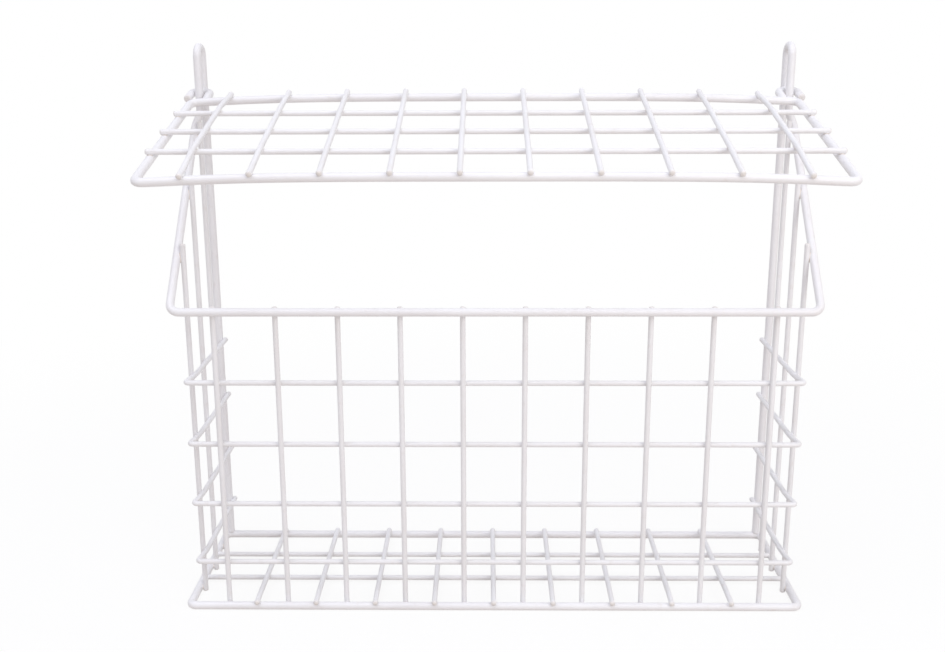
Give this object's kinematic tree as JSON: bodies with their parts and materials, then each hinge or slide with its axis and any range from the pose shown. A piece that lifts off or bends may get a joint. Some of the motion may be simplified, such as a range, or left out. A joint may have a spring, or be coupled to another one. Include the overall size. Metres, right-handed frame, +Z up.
{
  "type": "letter cage",
  "caption": "Open-backed letter cage of white coated wire that hangs inside a door: welded mesh basket, narrow hang loops and a hinged mesh lid hooked round the loops.",
  "frame": {"origin": "on the surface the cage stands on, below the middle of its box with the lid half open", "axes": "+X across the cage to the right as the front is seen, +Y from the front to the door, +Z up"},
  "size_m": [0.3302, 0.1358, 0.2903],
  "materials": {
    "frame_coat": "smooth satin white plastic coat on thick steel wire",
    "mesh_coat": "smooth satin white plastic coat on thin steel wire"
  },
  "bodies": {
    "cage": {"frame_wire": "frame_coat", "base_ring": "frame_coat", "front_wire_1": "mesh_coat", "front_wire_2": "mesh_coat", "front_wire_3": "mesh_coat", "front_wire_4": "mesh_coat", "front_wire_5": "mesh_coat", "front_wire_6": "mesh_coat", "front_wire_7": "mesh_coat", "front_wire_8": "mesh_coat", "front_wire_9": "mesh_coat", "front_wire_10": "mesh_coat", "side_wire_left_1": "mesh_coat", "side_wire_left_2": "mesh_coat", "side_wire_left_3": "mesh_coat", "side_wire_right_1": "mesh_coat", "side_wire_right_2": "mesh_coat", "side_wire_right_3": "mesh_coat", "belt_1": "mesh_coat", "belt_2": "mesh_coat", "belt_3": "mesh_coat", "belt_4": "mesh_coat", "base_cross_wire_1": "mesh_coat", "base_cross_wire_2": "mesh_coat", "base_cross_wire_3": "mesh_coat", "base_cross_wire_4": "mesh_coat", "base_cross_wire_5": "mesh_coat", "base_cross_wire_6": "mesh_coat", "base_cross_wire_7": "mesh_coat", "base_cross_wire_8": "mesh_coat", "base_cross_wire_9": "mesh_coat", "base_long_wire_1": "mesh_coat", "base_long_wire_2": "mesh_coat"},
    "lid": {"lid_ring": "frame_coat", "lid_hook_left": "frame_coat", "lid_hook_right": "frame_coat", "lid_long_wire_1": "mesh_coat", "lid_long_wire_2": "mesh_coat", "lid_long_wire_3": "mesh_coat", "lid_cross_wire_1": "mesh_coat", "lid_cross_wire_2": "mesh_coat", "lid_cross_wire_3": "mesh_coat", "lid_cross_wire_4": "mesh_coat", "lid_cross_wire_5": "mesh_coat", "lid_cross_wire_6": "mesh_coat", "lid_cross_wire_7": "mesh_coat", "lid_cross_wire_8": "mesh_coat", "lid_cross_wire_9": "mesh_coat", "lid_cross_wire_10": "mesh_coat"}
  },
  "joints": [
    {"name": "lid_hinge", "type": "hinge", "parent": "cage", "child": "lid", "pos_m": [0, 0.05408, 0.26295], "axis": [-1, 0, 0], "range_deg": [-35.5, 64]}
  ]
}
